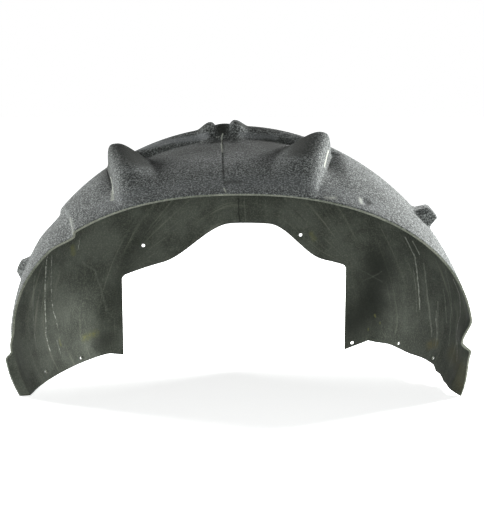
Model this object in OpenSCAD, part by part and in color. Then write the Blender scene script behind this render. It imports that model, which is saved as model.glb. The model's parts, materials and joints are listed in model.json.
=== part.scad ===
// Wheel arch liner, pressed from one sheet of needled felt.
// x runs along the vehicle, y from the outboard lip towards the inner wall of the wheel well, z up.
// Four rails run over the arch from the left foot to the right foot: the outboard lip, the ridge
// where the tread is highest, the fold into the inner wall, and the wall's cut-out edge.
// The sheet is lofted across them, then pressed out into its pockets, knuckles, bosses and joggle.

/* [Felt] */
// Thickness of the pressed felt
felt = 4; // [3:0.5:6]

/* [Outboard lip] */
// Half width of the lip on the left, at the wheel's axle height
lip_left = 409; // [390:1:425]
// Half width of the lip on the right, at the wheel's axle height
lip_right = 412; // [390:1:425]
// Height of the lip's crown above the ground
lip_crown = 366; // [345:5:385]
// Height at which the lip is widest
lip_axle = 100; // [85:5:115]
// How far the left foot of the lip comes in below its widest point
foot_tuck_left = 24; // [10:1:30]
// How far the right foot of the lip comes in below its widest point
foot_tuck_right = 16; // [6:1:22]
// Width of the flange that the lip turns out at the left foot
flange_w = 16; // [10:1:20]
// Height up to which that flange runs
flange_h = 126; // [105:1:150]
// Depth of the notch in the right leg's lip
notch_in = 17; // [6:1:20]
// Height of that notch above the ground
notch_z = 92; // [80:1:110]

/* [Tread] */
// How far the ridge swells past the lip at the left leg
swell_left = 7; // [3:1:16]
// How far the ridge swells past the lip at the right leg
swell_right = 2; // [0:1:12]
// How far the ridge rises above the lip at the crown
swell_crown = 104; // [85:2:120]
// Distance of the ridge from the lip at the crown
ridge_depth = 240; // [220:5:250]
// Distance of the ridge from the lip at the feet
ridge_depth_foot = 22; // [16:1:30]
// Height of the step from the tread up to the ridge
step_h = 17; // [8:1:24]
// Height of the joggle across the left flank
joggle_h = 7; // [3:0.5:9]
// Distance of the joggle from the middle
joggle_x = 319; // [305:1:330]
// How far the right leg's lower edge rises above the ground
edge_wave = 17; // [8:1:28]

/* [Inner wall] */
// Depth of the wall at the left foot, measured from the lip
wall_depth_left = 268; // [262:2:290]
// Depth of the wall at the right foot, measured from the lip
wall_depth_right = 298; // [270:2:306]
// How far the left leg turns in from the lip to the wall
turn_left = 132; // [124:1:150]
// How far the right leg turns in from the lip to the wall
turn_right = 150; // [136:1:164]
// Drop from the ridge to the start of the wall at the crown
roll_drop = 30; // [24:2:50]

/* [Cut-out in the wall] */
// Width of the strip of wall left beside the cut-out on the left leg
strip_left = 34; // [24:1:44]
// Width of the strip of wall left beside the cut-out on the right leg
strip_right = 49; // [36:1:60]
// Height of the cut-out's left corner
cut_corner_left = 167; // [150:1:176]
// Height of the cut-out's right corner
cut_corner_right = 183; // [160:1:190]
// Height of the cut-out's crown
cut_crown = 273; // [255:1:290]
// How much of that height is the raised middle
cut_rise = 58; // [40:2:70]

/* [Pockets and bosses] */
// Height of the left pocket above the tread
pocket_left_h = 54; // [35:1:60]
// Height of the right pocket above the tread
pocket_right_h = 52; // [35:1:60]
// Distance of the left pocket's tip from the middle
pocket_left_x = 229; // [215:1:240]
// Distance of the right pocket's tip from the middle
pocket_right_x = 141; // [125:1:155]
// Distance of the pockets' tips from the lip
pocket_depth = 150; // [135:1:165]
// Height of the two knuckles on the ridge
knuckle_h = 13; // [8:1:18]
// Distance of the middle between the knuckles from the middle of the arch, to the left
knuckle_x = 38; // [30:1:46]
// Distance between the knuckles
knuckle_pitch = 56; // [52:1:62]
// Height of the round boss on the left leg
boss_left_h = 13; // [8:1:20]
// Height of the square boss on the right flank
boss_right_h = 21; // [14:1:28]
// Distance of the square boss from the middle, to the right
boss_right_x = 331; // [316:1:342]

/* [Clip holes] */
// Diameter of the clip holes
clip_d = 7; // [6:0.1:8]
// Height of the clip holes' centres above the lower edge
clip_rise = 8.5; // [7:0.5:11]
// Height of the foremost left clip hole's centre above the lower edge
clip_rise_front = 15; // [10:1:22]
// Distance of the left wall hole from the middle
wall_hole_left_x = 199; // [190:1:206]
// Height of the left wall hole above the cut-out's edge
wall_hole_left_rise = 46; // [40:1:52]
// Distance of the right wall hole from the middle
wall_hole_right_x = 119; // [112:1:126]
// Height of the right wall hole above the cut-out's edge
wall_hole_right_rise = 20; // [16:1:26]

/* [Mesh] */
// Number of strips along the arch
strips = 80; // [60:2:86]

/* [Hidden] */
$fn = 48;
near = 0.001;

// The rails, each: half widths, height at its widest, crown height, squareness left and right, tucks
ridge_crown = lip_crown + swell_crown;
ridge_axle = lip_axle + 20;
ridge_tuck_left = foot_tuck_left + swell_left + 3;
ridge_tuck_right = foot_tuck_right + swell_right + 8;
fold_axle = lip_axle - 40;
fold_crown = ridge_crown - roll_drop;
fold_left = lip_left - turn_left;
fold_right = lip_right - turn_right;
fold_tuck = 8;
fold_square = 1.5;
LIP = [lip_left, lip_right, lip_axle, lip_crown, 2.25, 2.2, foot_tuck_left, foot_tuck_right];
RIDGE = [lip_left + swell_left, lip_right + swell_right, ridge_axle, ridge_crown, 2.02, 1.88,
         ridge_tuck_left, ridge_tuck_right];
FOLD = [fold_left, fold_right, fold_axle, fold_crown, fold_square, fold_square, fold_tuck, 0];

// Heights of the lower edge at each rail, left and right
LIP_FEET = [0, 0];
RIDGE_FEET = [0, 6];
FOLD_FEET = [5, 23];
CUT_FEET = [0, 2];
wave_rise = [62, 124];
wave_fall = [140, 215];
wave_dip = 0.45;
wave_end = [250, 305];
wave_up = 110;

// Shares of the way round the arch and across the section
leg_u = 0.1;
v_ridge = 0.5;
v_fold = 0.8;
rows_tread = 13;
rows_step = 4;
rows_roll = 10;
rows_wall = 4;
step_from = 0.88;
step_to = 0.955;

// The step to the ridge runs between the pockets, and swells over these lengths
step_end_left = 243;
step_end_right = 175;
step_swell = 50;

// Cut-out: its corners lie level with the strip of wall beside them
cut_left = fold_left - strip_left;
cut_right = fold_right - strip_right;
corner_lead = 8;
corner_soft = 0.008;
ramp_left = [-160, -22];
ramp_right = [55, 165];

// Joggle, flange, notch, knuckles, pockets and bosses
joggle_soft = 0.005;
joggle_fade = 0.05;
flange_fold = 5;
flange_lead = 56;
notch_up = 66;
notch_down = 22;
notch_y = 90;
knuckle_w = 26;
knuckle_nose = 16;
knuckle_front = 14;
pocket_steep = 25;
pocket_left_gentle = 50;
pocket_right_gentle = 60;
pocket_tip = 0.3;
pocket_slant = 0.22;
pocket_back = 62;
lean_reach = 0.11;
boss_left_at = [90, 205];
boss_left_r = [34, 26];
boss_right_v = 0.37;
boss_right_r = [27, 27];
left_hole_v = [0.588, 0.686];
right_hole_v = [0.599, 0.69, 0.935];
drill_reach = 16;

function blend(a, b, t) = a + (b - a) * t;
function clamp(x) = min(1, max(0, x));
function ease(x, lo, hi) = let (t = clamp((x - lo) / (hi - lo))) t * t * (3 - 2 * t);
function bell(d) = let (t = min(1, abs(d))) pow(1 - t * t, 2);
function unit(p) = p / max(norm(p), 1e-9);

// Share of the arch, 0 at the left leg's top and 1 at the right leg's top
function arch(u) = clamp((u - leg_u) / (1 - 2 * leg_u));

// Point [x, z] of a rail: straight legs with a tuck, and a half superellipse over the arch
function rail(r, u, feet) =
    let (a = 180 * arch(u), c = cos(a), s = max(0, sin(a)),
         left = clamp((leg_u - u) / leg_u), right = clamp((u - 1 + leg_u) / leg_u),
         n = c > 0 ? r[4] : r[5],
         w = c > 0 ? -r[0] : r[1])
    [w * pow(abs(c), 2 / n) + r[6] * left * left - r[7] * right * right,
     r[2] + (r[3] - r[2]) * pow(s, 2 / n) - (r[2] - feet[0]) * left - (r[2] - feet[1]) * right];

// How far round the arch, from either end, the fold reaches a height above its axle
function fold_u(z) =
    leg_u + (1 - 2 * leg_u) * asin(pow(clamp((z - fold_axle) / (fold_crown - fold_axle)), fold_square / 2)) / 180;
corner_left_u = fold_u(cut_corner_left + corner_lead);
corner_right_u = 1 - fold_u(cut_corner_right + corner_lead);

// Height of the wall's cut-out over x: two shoulders that fall to the corners, and a raised middle
function cut_z(x) =
    let (low = cut_crown - cut_rise,
         left = low - (low - cut_corner_left) * pow(x / cut_left, 2),
         right = low - (low - cut_corner_right) * pow(x / cut_right, 2))
    (x < 0 ? left : right) + cut_rise * ease(x, ramp_left[0], ramp_left[1])
        * (1 - ease(x, ramp_right[0], ramp_right[1]));
function cut_point(u) =
    u < corner_left_u
        ? [-cut_left, blend(CUT_FEET[0], cut_corner_left, u / corner_left_u)]
        : u > corner_right_u
            ? [cut_right, blend(CUT_FEET[1], cut_corner_right, (1 - u) / (1 - corner_right_u))]
            : let (x = blend(-cut_left, cut_right, (u - corner_left_u) / (corner_right_u - corner_left_u)))
                [x, cut_z(x)];
function cut_rail(u) =
    (cut_point(max(0, u - corner_soft)) + cut_point(u) + cut_point(min(1, u + corner_soft))) / 3;

// The inner wall is flat and stands a little deeper at the right than at the left
function wall_y(x) = blend(wall_depth_left, wall_depth_right, (x + cut_left) / (cut_left + cut_right));

// Plain section before anything is pressed out of it
function plain(u, v) =
    let (crown = max(0, sin(180 * arch(u))),
         lip = rail(LIP, u, LIP_FEET), ridge = rail(RIDGE, u, RIDGE_FEET),
         fold = rail(FOLD, u, FOLD_FEET), cut = cut_rail(u),
         ridge_y = blend(ridge_depth_foot, ridge_depth, crown))
    v <= v_ridge
        ? let (s = v / v_ridge, g = 1 - pow(1 - s, blend(1.3, 1.6, crown)), p = blend(lip, ridge, g))
            [p[0], ridge_y * s, p[1]]
        : v <= v_fold
            ? let (t = 90 * (v - v_ridge) / (v_fold - v_ridge), e = 2 / blend(1.4, 2, crown * crown),
                   p = blend(fold, ridge, pow(max(0, cos(t)), e)))
                [p[0], blend(ridge_y, wall_y(fold[0]), pow(sin(t), e)), p[1]]
            : let (p = blend(fold, cut, (v - v_fold) / (1 - v_fold))) [p[0], wall_y(p[0]), p[1]];

// Place round the arch at which a rail reaches x
function rail_u(r, x) =
    leg_u + (1 - 2 * leg_u) * acos(max(-1, min(1, -sign(x) * pow(abs(x) / r[x < 0 ? 0 : 1], r[x < 0 ? 4 : 5] / 2)))) / 180;

// The joggle: the flank to its left lies lower
joggle_u = rail_u(LIP, -joggle_x);
function joggle(u, v) =
    joggle_h * (1 - ease(u, joggle_u - joggle_soft, joggle_u + joggle_soft))
        * ease(u, joggle_u - joggle_fade, joggle_u - joggle_soft) * (1 - ease(v, 0.45, 0.7))
        * [0.7, 0, -0.7];

// A pocket: one steep flank, one gentle flank, a long ramp from the lip and a short back
function pocket(p, x, side, h, gentle) =
    let (d = side * (p[0] - x - side * pocket_slant * (p[1] - pocket_depth)),
         a = d > 0 ? d / pocket_steep : -d / gentle,
         top = sqrt(1 + pocket_tip * pocket_tip),
         across = a >= 1 ? 0 : d > 0 ? pow(1 - pow(a, 2.4), 1.5)
             : pow((top - sqrt(a * a + pocket_tip * pocket_tip)) / (top - pocket_tip), 1.15),
         along = p[1] < pocket_depth ? pow(clamp(p[1] / pocket_depth), 1.1)
             : 1 - ease(p[1], pocket_depth, pocket_depth + pocket_back))
    [0, 0, h * across * along];

// The two knuckles on the ridge, each a rounded rib with a blunt nose
function knuckle(p, x) =
    [0, 0, knuckle_h * bell(norm([(p[0] - x) / knuckle_w,
                                  max(0, ridge_depth - knuckle_front - p[1]) / knuckle_nose]))];

// The round boss on the left leg and the square one on the right flank
function boss_left(p) =
    let (d = norm([(p[1] - boss_left_at[0]) / boss_left_r[0], (p[2] - boss_left_at[1]) / boss_left_r[1]]))
    boss_left_h * bell(d) * [-0.95, 0, 0.3];
boss_right_u = rail_u(RIDGE, boss_right_x);
boss_right_at = plain(boss_right_u, boss_right_v);
function boss_right(p) =
    let (along = ((p[0] - boss_right_at[0]) - (p[2] - boss_right_at[2])) * 0.7 / boss_right_r[0],
         across = (p[1] - boss_right_at[1]) / boss_right_r[1])
    boss_right_h * (1 - ease(abs(along), 0.5, 1)) * (1 - ease(abs(across), 0.5, 1)) * [0.85, 0, 0.5];

// What the press adds at a point of the plain section
function pressed(p, u, v) =
    let (crown_span = ease(p[0], -step_end_left - step_swell / 2, -step_end_left + step_swell / 2)
             * (1 - ease(p[0], step_end_right - step_swell / 2, step_end_right + step_swell / 2)),
         s = min(1, v / v_ridge),
         tread_step = step_h * crown_span * ease(s, 0.1, 0.7) * (1 - ease(s, step_from, step_to)),
         roll_off = 1 - ease(v, 0.62, 0.75),
         flange = p[0] < 0 ? flange_w * (1 - ease(p[1], 0, flange_fold))
             * (1 - ease(p[2], flange_h - flange_lead, flange_h)) : 0,
         notch = p[0] > 0 ? notch_in * bell((p[2] - notch_z) / (p[2] > notch_z ? notch_up : notch_down))
             * (1 - ease(p[1], 0, notch_y)) : 0,
         wave = p[0] > 0 ? edge_wave * ease(p[1], wave_rise[0], wave_rise[1])
             * (1 - wave_dip * ease(p[1], wave_fall[0], wave_fall[1])) * (1 - ease(p[1], wave_end[0], wave_end[1]))
             * (1 - ease(p[2], 0, wave_up)) : 0)
    [-flange - notch, 0, wave - tread_step]
    + joggle(u, v)
    + (v > v_fold ? [0, 0, 0]
        : pocket(p, -pocket_left_x, -1, pocket_left_h, pocket_left_gentle)
          + pocket(p, pocket_right_x, 1, pocket_right_h, pocket_right_gentle)
          + roll_off * (knuckle(p, -knuckle_x - knuckle_pitch / 2) + knuckle(p, -knuckle_x + knuckle_pitch / 2))
          + (p[0] < 0 ? boss_left(p) : boss_right(p)));

function skin(u, v) = let (p = plain(u, v)) p + pressed(p, u, v);

// Strips lie closer together where the felt is pressed out, and lean to run along the pockets
pocket_left_u = rail_u(RIDGE, -pocket_left_x);
pocket_right_u = rail_u(RIDGE, pocket_right_x);
boss_left_u = rail_u(RIDGE, -395);
function crowding(u) =
    1 + 1.8 * bell((u - pocket_left_u) / 0.07) + 1.8 * bell((u - pocket_right_u) / 0.07)
    + 3 * bell((u - rail_u(RIDGE, -knuckle_x)) / 0.075) + 5 * bell((u - joggle_u) / 0.02)
    + 1.2 * bell((u - boss_right_u) / 0.06) + 0.8 * bell((u - boss_left_u) / 0.06);
samples = 400;
crowd_steps = [for (i = [0:samples - 1]) crowding((i + 0.5) / samples)];
function running(list, i = 0, sum = 0) = i >= len(list) ? [sum] : concat([sum], running(list, i + 1, sum + list[i]));
crowd_sum = running(crowd_steps);
crowd_total = crowd_sum[samples];
crowd_table = [for (i = [0:samples]) [crowd_sum[i], i / samples]];
us = [for (i = [0:strips]) lookup(crowd_total * i / strips, crowd_table)];
vs = concat([for (i = [0:rows_tread - 1]) v_ridge * step_from * i / rows_tread],
            [for (i = [0:rows_step - 1]) v_ridge * blend(step_from, 1, i / rows_step)],
            [for (i = [0:rows_roll - 1]) blend(v_ridge, v_fold, i / rows_roll)],
            [for (i = [0:rows_wall]) blend(v_fold, 1, i / rows_wall)]);
function u_per_x(x) = (rail_u(RIDGE, x + 1) - rail_u(RIDGE, x - 1)) / 2;
function lean(u, v) =
    pocket_slant * (ridge_depth * min(1, v / v_ridge) - pocket_depth) * (1 - ease(v, v_ridge, v_fold))
    * (u_per_x(pocket_right_x) * bell((u - pocket_right_u) / lean_reach)
       - u_per_x(-pocket_left_x) * bell((u - pocket_left_u) / lean_reach));

// The sheet's middle layer, its outward normals from each crossing's neighbours, and its two faces
nu = len(us);
nv = len(vs);
grid = [for (u = us) [for (v = vs) skin(u + lean(u, v), v)]];
normals = [for (i = [0:nu - 1]) [for (j = [0:nv - 1])
    unit(cross(grid[i][min(nv - 1, j + 1)] - grid[i][max(0, j - 1)],
               grid[min(nu - 1, i + 1)][j] - grid[max(0, i - 1)][j]))]];
outer = [for (i = [0:nu - 1]) for (j = [0:nv - 1]) grid[i][j] + normals[i][j] * felt / 2];
inner = [for (i = [0:nu - 1]) for (j = [0:nv - 1]) grid[i][j] - normals[i][j] * felt / 2];

// The part's origin: the middle of its plan, on the ground
function middle(list) = (min(list) + max(list)) / 2;
sheet_points = concat(outer, inner);
origin = [middle([for (p = sheet_points) p[0]]), middle([for (p = sheet_points) p[1]]),
          min([for (p = sheet_points) p[2]])];

// Clip holes: a point on the sheet and the direction square to it, towards the wheel
wall_out = unit([wall_depth_right - wall_depth_left, -cut_left - cut_right, 0]);
function wall_hole(x, rise) = [[x, wall_y(x), cut_z(x) + rise], wall_out];
function edge_u(v, rise, end) =
    let (step = 0.02, foot = skin(end, v)[2]) rise * step / (skin(abs(end - step), v)[2] - foot);
function edge_hole(v, rise, end) =
    let (u = abs(end - edge_u(v, rise, end)),
         p = skin(u, v), along = skin(u + near, v) - p, across = skin(u, v + near) - p)
    [p, -unit(cross(along, across))];
HOLES = [wall_hole(-wall_hole_left_x, wall_hole_left_rise), wall_hole(wall_hole_right_x, wall_hole_right_rise),
         edge_hole(left_hole_v[0], clip_rise_front, 0), edge_hole(left_hole_v[1], clip_rise, 0),
         edge_hole(right_hole_v[0], clip_rise, 1), edge_hole(right_hole_v[1], clip_rise, 1),
         edge_hole(right_hole_v[2], clip_rise, 1)];
module along_axis(at, axis)
    translate(at) rotate([0, acos(axis[2]), atan2(axis[1], axis[0])]) children();

module sheet() {
    half = nu * nv;
    function at(i, j) = i * nv + j;
    // Each cell is split along the diagonal that lies closer to the pressed form
    skins = [for (i = [0:nu - 2]) for (j = [0:nv - 2])
        let (a = at(i, j), b = at(i + 1, j), c = at(i + 1, j + 1), d = at(i, j + 1),
             u = (us[i] + us[i + 1]) / 2, v = (vs[j] + vs[j + 1]) / 2, middle = skin(u + lean(u, v), v),
             first = norm((grid[i][j] + grid[i + 1][j + 1]) / 2 - middle)
                 <= norm((grid[i + 1][j] + grid[i][j + 1]) / 2 - middle))
        each (first ? [[a, b, c], [a, c, d], [half + a, half + c, half + b], [half + a, half + d, half + c]]
            : [[a, b, d], [b, c, d], [half + a, half + d, half + b], [half + b, half + d, half + c]])];
    lip_rim = [for (i = [0:nu - 2]) let (a = at(i, 0), b = at(i + 1, 0))
        each [[a, half + b, b], [a, half + a, half + b]]];
    cut_rim = [for (i = [0:nu - 2]) let (a = at(i, nv - 1), b = at(i + 1, nv - 1))
        each [[a, b, half + b], [a, half + b, half + a]]];
    left_rim = [for (j = [0:nv - 2]) let (a = at(0, j), b = at(0, j + 1))
        each [[a, b, half + b], [a, half + b, half + a]]];
    right_rim = [for (j = [0:nv - 2]) let (a = at(nu - 1, j), b = at(nu - 1, j + 1))
        each [[a, half + b, b], [a, half + a, half + b]]];
    polyhedron(sheet_points, concat(skins, lip_rim, cut_rim, left_rim, right_rim), 10);
}

module arch_liner() {
    color([0.27, 0.28, 0.26])
        translate(-origin)
            difference() {
                sheet();
                for (hole = HOLES)
                    along_axis(hole[0], hole[1]) cylinder(d = clip_d, h = drill_reach, center = true);
            }
}

arch_liner();
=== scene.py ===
"""Dresses a wheel arch liner: one sheet of needled felt, pressed, cut out, pierced, worn and partly
painted with light and shade.
"""

import json
import logging
import math
from dataclasses import dataclass, field
from enum import Enum

import bpy
import numpy as np
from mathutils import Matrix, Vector


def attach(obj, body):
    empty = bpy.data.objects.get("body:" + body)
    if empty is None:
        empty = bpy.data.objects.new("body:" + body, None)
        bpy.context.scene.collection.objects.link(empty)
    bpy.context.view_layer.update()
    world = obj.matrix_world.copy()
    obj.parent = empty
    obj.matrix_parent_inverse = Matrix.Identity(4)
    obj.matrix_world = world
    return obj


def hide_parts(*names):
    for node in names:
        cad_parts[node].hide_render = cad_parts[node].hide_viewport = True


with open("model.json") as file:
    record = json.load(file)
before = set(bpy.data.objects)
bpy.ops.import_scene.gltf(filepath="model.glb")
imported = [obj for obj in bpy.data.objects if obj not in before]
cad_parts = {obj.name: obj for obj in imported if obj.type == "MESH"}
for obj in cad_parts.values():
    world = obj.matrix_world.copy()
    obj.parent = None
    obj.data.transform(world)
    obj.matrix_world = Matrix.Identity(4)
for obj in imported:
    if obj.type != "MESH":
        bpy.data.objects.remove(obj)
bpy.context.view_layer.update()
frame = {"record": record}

LOG = logging.getLogger("arch_liner")
MM = 0.001
TINY = 1e-9
NODE = "arch_liner"
BODY = "root"
UV_NAME = "sheet"
WALL_HOLE_X = -199.0
WALL_HOLE_RISE = 46

Array = np.ndarray
Colour = tuple[float, float, float]
Place = tuple[float, float, float]
Pair = tuple[float, float]
Socket = bpy.types.NodeSocket


def blend(a: Array | float, b: Array | float, t: Array | float) -> Array:
    """Goes from a to b as t goes from 0 to 1."""
    return a + (b - a) * t


def clamp(x: Array | float) -> Array:
    """Holds x between 0 and 1."""
    return np.clip(x, 0.0, 1.0)


def ease(x: Array | float, low: float, high: float) -> Array:
    """Rises smoothly from 0 at low to 1 at high."""
    t = clamp((x - low) / (high - low))
    return t * t * (3 - 2 * t)


def fall(x: Array | float, low: float, high: float) -> Array:
    """Falls smoothly from 1 at low to 0 at high."""
    return 1 - ease(x, low, high)


def bell(distance: Array | float) -> Array:
    """Falls smoothly from 1 at a distance of 0 to 0 at a distance of 1."""
    t = np.minimum(1.0, np.abs(distance))
    return (1 - t * t) ** 2


def unit(vectors: Array) -> Array:
    """Scales vectors along the last axis to a length of 1."""
    return vectors / np.maximum(np.linalg.norm(vectors, axis=-1, keepdims=True), TINY)


def stack(x: Array | float, y: Array | float, z: Array | float) -> Array:
    """Joins three coordinates into points, along a new last axis."""
    return np.stack(np.broadcast_arrays(x, y, z), axis=-1).astype(float)


def outward(grid: Array) -> Array:
    """Gives the outward normal at each crossing of a grid of points."""
    return unit(np.cross(np.gradient(grid, axis=0), np.gradient(grid, axis=1)))


class Side(Enum):
    """Which side of the arch a feature stands on, as the sign of x."""

    LEFT = -1
    RIGHT = 1


class Face(Enum):
    """The three kinds of surface of the sheet, as material indices."""

    OUTER = 0
    INNER = 1
    CUT = 2


@dataclass(frozen=True)
class Rail:
    """A curve over the arch, from the left foot to the right foot, in millimetres."""

    half: Pair
    axle: float
    crown: float
    square: Pair
    tuck: Pair
    feet: Pair
    curl: Pair = (2, 2)
    leg: float = 0.1

    def arch(self, u: Array) -> Array:
        """Gives the share of the arch at u, from 0 at the left leg to 1 at the right leg."""
        return clamp((u - self.leg) / (1 - 2 * self.leg))

    def at(self, u: Array) -> tuple[Array, Array]:
        """Finds places on the rail.

        Args:
            u: how far round the rail they are, from 0 to 1.

        Returns:
            Their x and z.
        """
        turn = np.pi * self.arch(u)
        c, s = np.cos(turn), np.maximum(0.0, np.sin(turn))
        left, right = clamp((self.leg - u) / self.leg), clamp((u - 1 + self.leg) / self.leg)
        square = np.where(c > 0, self.square[0], self.square[1])
        half = np.where(c > 0, -self.half[0], self.half[1])
        x = (half * np.abs(c) ** (2 / square) + self.tuck[0] * left ** self.curl[0]
             - self.tuck[1] * right ** self.curl[1])
        z = (self.axle + (self.crown - self.axle) * s ** (2 / square)
             - (self.axle - self.feet[0]) * left - (self.axle - self.feet[1]) * right)
        return x, z

    def reach(self, x: float) -> float:
        """Finds where the arch reaches an x.

        Args:
            x: the place along the vehicle.

        Returns:
            How far round the rail that is.
        """
        k = 0 if x < 0 else 1
        c = -math.copysign((abs(x) / self.half[k]) ** (self.square[k] / 2), x)
        return self.leg + (1 - 2 * self.leg) * math.acos(max(-1.0, min(1.0, c))) / math.pi

    def rise(self, z: float) -> float:
        """Gives how far round the rail, from either end, it reaches the height z."""
        share = min(1.0, (z - self.axle) / (self.crown - self.axle)) ** (self.square[0] / 2)
        return self.leg + (1 - 2 * self.leg) * math.asin(share) / math.pi


@dataclass(frozen=True)
class CutOut:
    """The large cut-out in the inner wall."""

    left: float = 243
    right: float = 213
    corner_left: float = 167
    corner_right: float = 183
    crown: float = 273
    rise: float = 58
    ramp_left: Pair = (-160, -22)
    ramp_right: Pair = (55, 165)
    feet: Pair = (0, 2)
    soft: float = 0.008

    def height(self, x: Array) -> Array:
        """Finds how high the top edge is.

        Args:
            x: places along the edge.

        Returns:
            The edge's z over them.
        """
        low = self.crown - self.rise
        left = low - (low - self.corner_left) * (x / self.left) ** 2
        right = low - (low - self.corner_right) * (x / self.right) ** 2
        middle = ease(x, *self.ramp_left) * fall(x, *self.ramp_right)
        return np.where(x < 0, left, right) + self.rise * middle

    def point(self, u: Array, corners: Pair) -> tuple[Array, Array]:
        """Finds places on the outline while its corners are sharp.

        Args:
            u: how far round the outline they are, from 0 to 1.
            corners: how far round it the two corners are.

        Returns:
            Their x and z.
        """
        x = blend(-self.left, self.right, clamp((u - corners[0]) / (corners[1] - corners[0])))
        up_left = blend(self.feet[0], self.corner_left, u / corners[0])
        up_right = blend(self.feet[1], self.corner_right, (1 - u) / (1 - corners[1]))
        z = np.where(u < corners[0], up_left,
                     np.where(u > corners[1], up_right, self.height(x)))
        return x, z

    def at(self, u: Array, corners: Pair) -> tuple[Array, Array]:
        """Gives x and z of the edge at u, with its corners rounded."""
        around = [self.point(np.clip(u + shift, 0, 1), corners)
                  for shift in (-self.soft, 0, self.soft)]
        return sum(p[0] for p in around) / 3, sum(p[1] for p in around) / 3


@dataclass(frozen=True)
class Pocket:
    """A pocket pressed up out of the tread: a steep and a gentle flank, a ramp, a short back."""

    side: Side
    x: float
    height: float
    gentle: float
    depth: float = 150
    steep: float = 26
    tip: float = 0.5
    slant: float = 0.22
    back: float = 62
    over: float = 0.28
    gentle_power: float = 1.15
    steep_power: Pair = (3, 1.6)
    ramp_power: float = 1.1

    def push(self, p: Array) -> Array:
        """Finds how the pocket moves the tread: up, and out over its steep flank.

        Args:
            p: points of the tread.

        Returns:
            What is added to each.
        """
        sign = self.side.value
        d = sign * (p[..., 0] - self.x - sign * self.slant * (p[..., 1] - self.depth))
        a = np.minimum(1.0, np.where(d > 0, d / self.steep, -d / self.gentle))
        top = math.hypot(1, self.tip)
        gentle = np.maximum(0.0, (top - np.hypot(a, self.tip)) / (top - self.tip))
        steep = np.maximum(0.0, 1 - a ** self.steep_power[0])
        across = np.where(d > 0, steep ** self.steep_power[1], gentle ** self.gentle_power)
        ramp = clamp(p[..., 1] / self.depth) ** self.ramp_power
        along = np.where(p[..., 1] < self.depth, ramp,
                         fall(p[..., 1], self.depth, self.depth + self.back))
        lift = self.height * across * along
        return stack(sign * self.over * lift, 0, lift)


@dataclass(frozen=True)
class Dent:
    """A soft local mark, pushed along the sheet's outward normal."""

    at: Place
    reach: Place
    depth: float

    def lift(self, p: Array) -> Array:
        """Gives how far the mark pushes the points p outwards."""
        away = (p - np.array(self.at)) / np.array(self.reach)
        return self.depth * bell(np.linalg.norm(away, axis=-1))


@dataclass(frozen=True)
class Crease:
    """A narrow groove or fold that follows a line over the sheet."""

    path: tuple[Place, ...]
    width: float
    depth: float
    stops: tuple[float, ...] = (0, 0.25, 0.5, 0.75, 1)

    def near(self, p: Array) -> Array:
        """Measures distances from the line, once the line is laid on the sheet.

        Args:
            p: the sheet's points.

        Returns:
            Each one's distance.
        """
        nearest = np.full(p.shape[:-1], np.inf)
        flat = p.reshape(-1, 3)
        trail = [blend(np.array(start, float), np.array(end, float), t)
                 for start, end in zip(self.path, self.path[1:]) for t in self.stops]
        trail = [flat[np.argmin(((flat - place) ** 2).sum(axis=-1))] for place in trail]
        for a, b in zip(trail, trail[1:]):
            if np.allclose(a, b):
                continue
            t = clamp(((p - a) @ (b - a)) / ((b - a) @ (b - a)))
            away = np.linalg.norm(p - a - t[..., None] * (b - a), axis=-1)
            nearest = np.minimum(nearest, away)
        return nearest

    def lift(self, p: Array) -> Array:
        """Gives how far the fold pushes the points p outwards."""
        return self.depth * bell(self.near(p) / self.width)


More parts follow.
